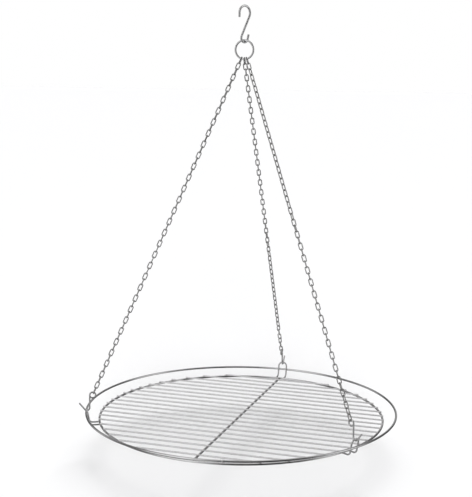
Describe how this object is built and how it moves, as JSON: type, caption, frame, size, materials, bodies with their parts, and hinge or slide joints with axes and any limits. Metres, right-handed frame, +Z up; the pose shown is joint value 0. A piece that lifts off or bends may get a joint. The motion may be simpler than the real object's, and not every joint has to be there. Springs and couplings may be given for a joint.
{
  "type": "hanging grill grate",
  "caption": "Round wire grate with a raised rim, hung by link chains from a ring and an S-hook; lifts, swings and unhooks for cooking over a fire.",
  "frame": {"origin": "the point where the S-hook hangs, on the inside of its upper bend", "axes": "+Z up; the grate's rods run along X and its cross bar along Y; the top ring lies in the XZ plane"},
  "size_m": [0.5999, 0.6122, 0.7821],
  "materials": {
    "s_hook": "polished",
    "top_ring": "polished",
    "chain_wire": "polished",
    "hook_wire": "polished",
    "bracket_wire": "polished",
    "frame_wire": "polished",
    "rod_wire": "polished"
  },
  "bodies": {
    "s_hook": {"s_hook": "s_hook"},
    "top_ring": {"top_ring": "top_ring"},
    "top_link_a": {"top_link_a": "chain_wire"},
    "chain_a_1": {"chain_a_1": "chain_wire"},
    "chain_a_2": {"chain_a_2": "chain_wire"},
    "chain_a_3": {"chain_a_3": "chain_wire"},
    "chain_a_4": {"chain_a_4": "chain_wire"},
    "grate_hook_a": {"grate_hook_a": "hook_wire"},
    "top_link_b": {"top_link_b": "chain_wire"},
    "chain_b_1": {"chain_b_1": "chain_wire"},
    "chain_b_2": {"chain_b_2": "chain_wire"},
    "chain_b_3": {"chain_b_3": "chain_wire"},
    "chain_b_4": {"chain_b_4": "chain_wire"},
    "grate_hook_b": {"grate_hook_b": "hook_wire"},
    "top_link_c": {"top_link_c": "chain_wire"},
    "chain_c_1": {"chain_c_1": "chain_wire"},
    "chain_c_2": {"chain_c_2": "chain_wire"},
    "chain_c_3": {"chain_c_3": "chain_wire"},
    "chain_c_4": {"chain_c_4": "chain_wire"},
    "grate_hook_c": {"grate_hook_c": "hook_wire"},
    "grate": {"grate_ring": "frame_wire", "rim": "frame_wire", "cross_bar": "frame_wire", "bracket_a": "bracket_wire", "bracket_b": "bracket_wire", "bracket_c": "bracket_wire", "rod_01": "rod_wire", "rod_02": "rod_wire", "rod_03": "rod_wire", "rod_04": "rod_wire", "rod_05": "rod_wire", "rod_06": "rod_wire", "rod_07": "rod_wire", "rod_08": "rod_wire", "rod_09": "rod_wire", "rod_10": "rod_wire", "rod_11": "rod_wire", "rod_12": "rod_wire", "rod_13": "rod_wire", "rod_14": "rod_wire", "rod_15": "rod_wire", "rod_16": "rod_wire", "rod_17": "rod_wire", "rod_18": "rod_wire", "rod_19": "rod_wire", "rod_20": "rod_wire", "rod_21": "rod_wire"}
  },
  "joints": [
    {"name": "ring_swing", "type": "hinge", "parent": "s_hook", "child": "top_ring", "pos_m": [0, 0, -0.064], "axis": [0.5, 0.866, 0], "range_deg": [-20, 20]},
    {"name": "top_link_a_swing", "type": "hinge", "parent": "top_ring", "child": "top_link_a", "pos_m": [0, 0, -0.0942], "axis": [1, 0, 0], "range_deg": [-20, 20]},
    {"name": "chain_a_1_fold", "type": "hinge", "parent": "top_link_a", "child": "chain_a_1", "pos_m": [0, 0.00392, -0.10317], "axis": [-1, 0, 0], "range_deg": [-0.1, 15.15]},
    {"name": "chain_a_2_fold", "type": "hinge", "parent": "chain_a_1", "child": "chain_a_2", "pos_m": [0, 0.07405, -0.25666], "axis": [-1, 0, 0], "range_deg": [-10.42, 0.1]},
    {"name": "chain_a_3_fold", "type": "hinge", "parent": "chain_a_2", "child": "chain_a_3", "pos_m": [0, 0.14417, -0.41015], "axis": [-1, 0, 0], "range_deg": [-10.42, 0.1]},
    {"name": "chain_a_4_fold", "type": "hinge", "parent": "chain_a_3", "child": "chain_a_4", "pos_m": [0, 0.2143, -0.56364], "axis": [-1, 0, 0], "range_deg": [-10.42, 0.1]},
    {"name": "grate_hook_a_turn", "type": "hinge", "parent": "chain_a_4", "child": "grate_hook_a", "pos_m": [0, 0.28606, -0.72069], "axis": [-1, 0, 0], "range_deg": [-0.1, 16.06]},
    {"name": "top_link_b_swing", "type": "hinge", "parent": "top_ring", "child": "top_link_b", "pos_m": [0, 0, -0.0942], "axis": [1, 0, 0], "range_deg": [-20.2, 20.2]},
    {"name": "chain_b_1_fold", "type": "hinge", "parent": "top_link_b", "child": "chain_b_1", "pos_m": [-0.00922, -0.00196, -0.10215], "axis": [0.5, -0.866, 0], "range_deg": [-0.1, 15.2]},
    {"name": "chain_b_2_fold", "type": "hinge", "parent": "chain_b_1", "child": "chain_b_2", "pos_m": [-0.06856, -0.03702, -0.25587], "axis": [0.5, -0.866, 0], "range_deg": [-10.45, 0.1]},
    {"name": "chain_b_3_fold", "type": "hinge", "parent": "chain_b_2", "child": "chain_b_3", "pos_m": [-0.12789, -0.07208, -0.40959], "axis": [0.5, -0.866, 0], "range_deg": [-10.45, 0.1]},
    {"name": "chain_b_4_fold", "type": "hinge", "parent": "chain_b_3", "child": "chain_b_4", "pos_m": [-0.18723, -0.10714, -0.5633], "axis": [0.5, -0.866, 0], "range_deg": [-10.45, 0.1]},
    {"name": "grate_hook_b_turn", "type": "hinge", "parent": "chain_b_4", "child": "grate_hook_b", "pos_m": [-0.24796, -0.14302, -0.72061], "axis": [0.5, -0.866, 0], "range_deg": [-0.1, 16.09]},
    {"name": "top_link_c_swing", "type": "hinge", "parent": "top_ring", "child": "top_link_c", "pos_m": [0, 0, -0.0942], "axis": [1, 0, 0], "range_deg": [-20.2, 20.2]},
    {"name": "chain_c_1_fold", "type": "hinge", "parent": "top_link_c", "child": "chain_c_1", "pos_m": [0.00809, -0.00196, -0.10252], "axis": [0.5, 0.866, 0], "range_deg": [-0.1, 15.19]},
    {"name": "chain_c_2_fold", "type": "hinge", "parent": "chain_c_1", "child": "chain_c_2", "pos_m": [0.06769, -0.03702, -0.25615], "axis": [0.5, 0.866, 0], "range_deg": [-10.44, 0.1]},
    {"name": "chain_c_3_fold", "type": "hinge", "parent": "chain_c_2", "child": "chain_c_3", "pos_m": [0.1273, -0.07208, -0.40978], "axis": [0.5, 0.866, 0], "range_deg": [-10.44, 0.1]},
    {"name": "chain_c_4_fold", "type": "hinge", "parent": "chain_c_3", "child": "chain_c_4", "pos_m": [0.18691, -0.10714, -0.56341], "axis": [0.5, 0.866, 0], "range_deg": [-10.44, 0.1]},
    {"name": "grate_hook_c_turn", "type": "hinge", "parent": "chain_c_4", "child": "grate_hook_c", "pos_m": [0.24791, -0.14302, -0.72063], "axis": [0.5, 0.866, 0], "range_deg": [-0.1, 16.08]},
    {"name": "grate_lift", "type": "slide", "parent": "top_link_a", "child": "grate", "axis": [0, 0, 1], "range_m": [0, 0.015]}
  ],
  "couplings": [
    {"joint": "chain_a_1_fold", "follows": "grate_lift", "rad_per_m": 17.4},
    {"joint": "chain_a_2_fold", "follows": "grate_lift", "rad_per_m": -11.947},
    {"joint": "chain_a_3_fold", "follows": "grate_lift", "rad_per_m": -11.947},
    {"joint": "chain_a_4_fold", "follows": "grate_lift", "rad_per_m": -11.947},
    {"joint": "grate_hook_a_turn", "follows": "grate_lift", "rad_per_m": 18.441},
    {"joint": "top_link_b_swing", "follows": "top_link_a_swing", "ratio": 1},
    {"joint": "chain_b_1_fold", "follows": "grate_lift", "rad_per_m": 17.454},
    {"joint": "chain_b_2_fold", "follows": "grate_lift", "rad_per_m": -11.977},
    {"joint": "chain_b_3_fold", "follows": "grate_lift", "rad_per_m": -11.977},
    {"joint": "chain_b_4_fold", "follows": "grate_lift", "rad_per_m": -11.977},
    {"joint": "grate_hook_b_turn", "follows": "grate_lift", "rad_per_m": 18.476},
    {"joint": "top_link_c_swing", "follows": "top_link_a_swing", "ratio": 1},
    {"joint": "chain_c_1_fold", "follows": "grate_lift", "rad_per_m": 17.445},
    {"joint": "chain_c_2_fold", "follows": "grate_lift", "rad_per_m": -11.972},
    {"joint": "chain_c_3_fold", "follows": "grate_lift", "rad_per_m": -11.972},
    {"joint": "chain_c_4_fold", "follows": "grate_lift", "rad_per_m": -11.972},
    {"joint": "grate_hook_c_turn", "follows": "grate_lift", "rad_per_m": 18.471}
  ]
}
